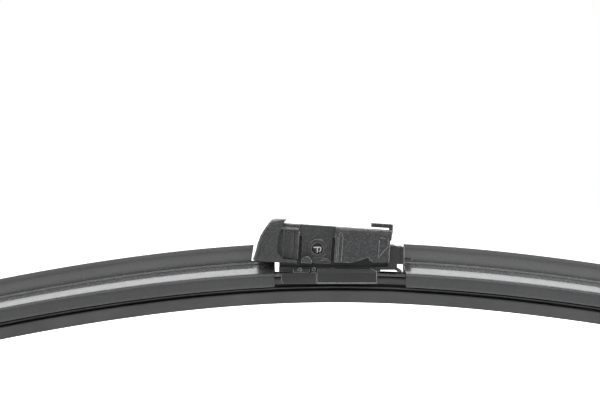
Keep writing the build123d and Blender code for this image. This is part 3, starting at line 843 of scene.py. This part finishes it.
# --------------------------------------------------------------------- studio
FLOOR_GLOW = 0.30
FLOOR_ALBEDO = 0.45
bm = bmesh.new()
bmesh.ops.create_grid(bm, x_segments=2, y_segments=2, size=6.0)
me = bpy.data.meshes.new("floor")
bm.to_mesh(me); bm.free()
floor = bpy.data.objects.new("floor", me)
SCENE.collection.objects.link(floor)
fm = bpy.data.materials.new("floor_white")
fm.use_nodes = True
ft = fm.node_tree
fb = next(n for n in ft.nodes if n.type == "BSDF_PRINCIPLED")
FT_BASE = FLOOR_ALBEDO
fb.inputs["Roughness"].default_value = 0.85
fb.inputs["Specular IOR Level"].default_value = 0.1
fb.inputs["Emission Color"].default_value = (1, 1, 1, 1)
fl = ft.nodes.new("ShaderNodeLightPath")
fmul = ft.nodes.new("ShaderNodeMath")
fmul.operation = "MULTIPLY_ADD"
fmul.inputs[1].default_value = 0.85
fmul.inputs[2].default_value = FLOOR_GLOW
ft.links.new(fl.outputs["Is Camera Ray"], fmul.inputs[0])
fcol = ft.nodes.new("ShaderNodeMix")
fcol.data_type = "RGBA"
fcol.inputs[6].default_value = (FT_BASE, FT_BASE, FT_BASE, 1)
fcol.inputs[7].default_value = (0.9, 0.9, 0.9, 1)
ft.links.new(fl.outputs["Is Camera Ray"], fcol.inputs[0])
ft.links.new(fcol.outputs[2], fb.inputs["Base Color"])
ft.links.new(fmul.outputs[0], fb.inputs["Emission Strength"])
floor.data.materials.append(fm)

world = bpy.data.worlds.new("studio")
SCENE.world = world
world.use_nodes = True
wt = world.node_tree
for n in list(wt.nodes):
    wt.nodes.remove(n)
out = wt.nodes.new("ShaderNodeOutputWorld")
mixs = wt.nodes.new("ShaderNodeMixShader")
lp = wt.nodes.new("ShaderNodeLightPath")
seen = wt.nodes.new("ShaderNodeBackground")
seen.inputs["Color"].default_value = (1, 1, 1, 1)
seen.inputs["Strength"].default_value = 1.0
lit = wt.nodes.new("ShaderNodeBackground")
wc = wt.nodes.new("ShaderNodeTexCoord")
sep = wt.nodes.new("ShaderNodeSeparateXYZ")
wt.links.new(wc.outputs["Generated"], sep.inputs[0])
mr = wt.nodes.new("ShaderNodeMapRange")
mr.interpolation_type = "SMOOTHSTEP"
mr.inputs["From Min"].default_value = -0.25
mr.inputs["From Max"].default_value = 0.35
mr.inputs["To Min"].default_value = 0.04
mr.inputs["To Max"].default_value = 1.0
wt.links.new(sep.outputs["Y"], mr.inputs["Value"])
wt.links.new(mr.outputs["Result"], lit.inputs["Strength"])
lit.inputs["Color"].default_value = (1, 1, 1, 1)
wt.links.new(lp.outputs["Is Camera Ray"], mixs.inputs[0])
wt.links.new(lit.outputs[0], mixs.inputs[1])
wt.links.new(seen.outputs[0], mixs.inputs[2])
wt.links.new(mixs.outputs[0], out.inputs["Surface"])


def area(name, loc, target, size, power, size_y=None):
    li = bpy.data.lights.new(name, "AREA")
    li.shape = "RECTANGLE"
    li.size = size
    li.size_y = size_y or size
    li.energy = power
    ob = bpy.data.objects.new(name, li)
    ob.location = loc
    d = Vector(target) - Vector(loc)
    ob.rotation_euler = d.to_track_quat("-Z", "Y").to_euler()
    SCENE.collection.objects.link(ob)
    return ob


area("key_back", (0.0, 0.42, 0.62), (0, 0, 0.07), 1.5, 5.6, 0.34)
area("overhead", (0.0, -0.02, 0.85), (0, 0, 0.07), 1.4, 4.2, 0.13)
area("side_left", (-0.80, 0.05, 0.20), (0, 0, 0.07), 0.34, 1.0, 0.5)
area("side_right", (0.80, -0.05, 0.20), (0, 0, 0.07), 0.34, 7.0, 0.5)
area("front_panel", (0.0, -1.0, 0.65), (0, 0, 0.07), 1.6, 6.5, 0.62)

# --------------------------------------------------------------------- camera
cam_data = bpy.data.cameras.new("camera")
cam_data.sensor_width = 36.0
cam_data.lens = 90.0
cam_data.clip_start = 0.02
cam_data.clip_end = 50.0
cam = bpy.data.objects.new("camera", cam_data)
SCENE.collection.objects.link(cam)
cx, cz = to_row(-9.09, 22.18 + 0.12)
c, s = math.cos(TILT), math.sin(TILT)
cam.matrix_world = Matrix(((c, s, 0, cx * MM), (0, 0, -1, -0.4545), (-s, c, 0, cz * MM), (0, 0, 0, 1)))
SCENE.camera = cam

SCENE.view_settings.view_transform = "Standard"
SCENE.view_settings.look = "None"
SCENE.view_settings.exposure = 0.0
SCENE.view_settings.gamma = 1.0

for v in rubber.data.vertices:
    v.co.z = max(CAD_LO[2], v.co.z)
bpy.context.view_layer.update()
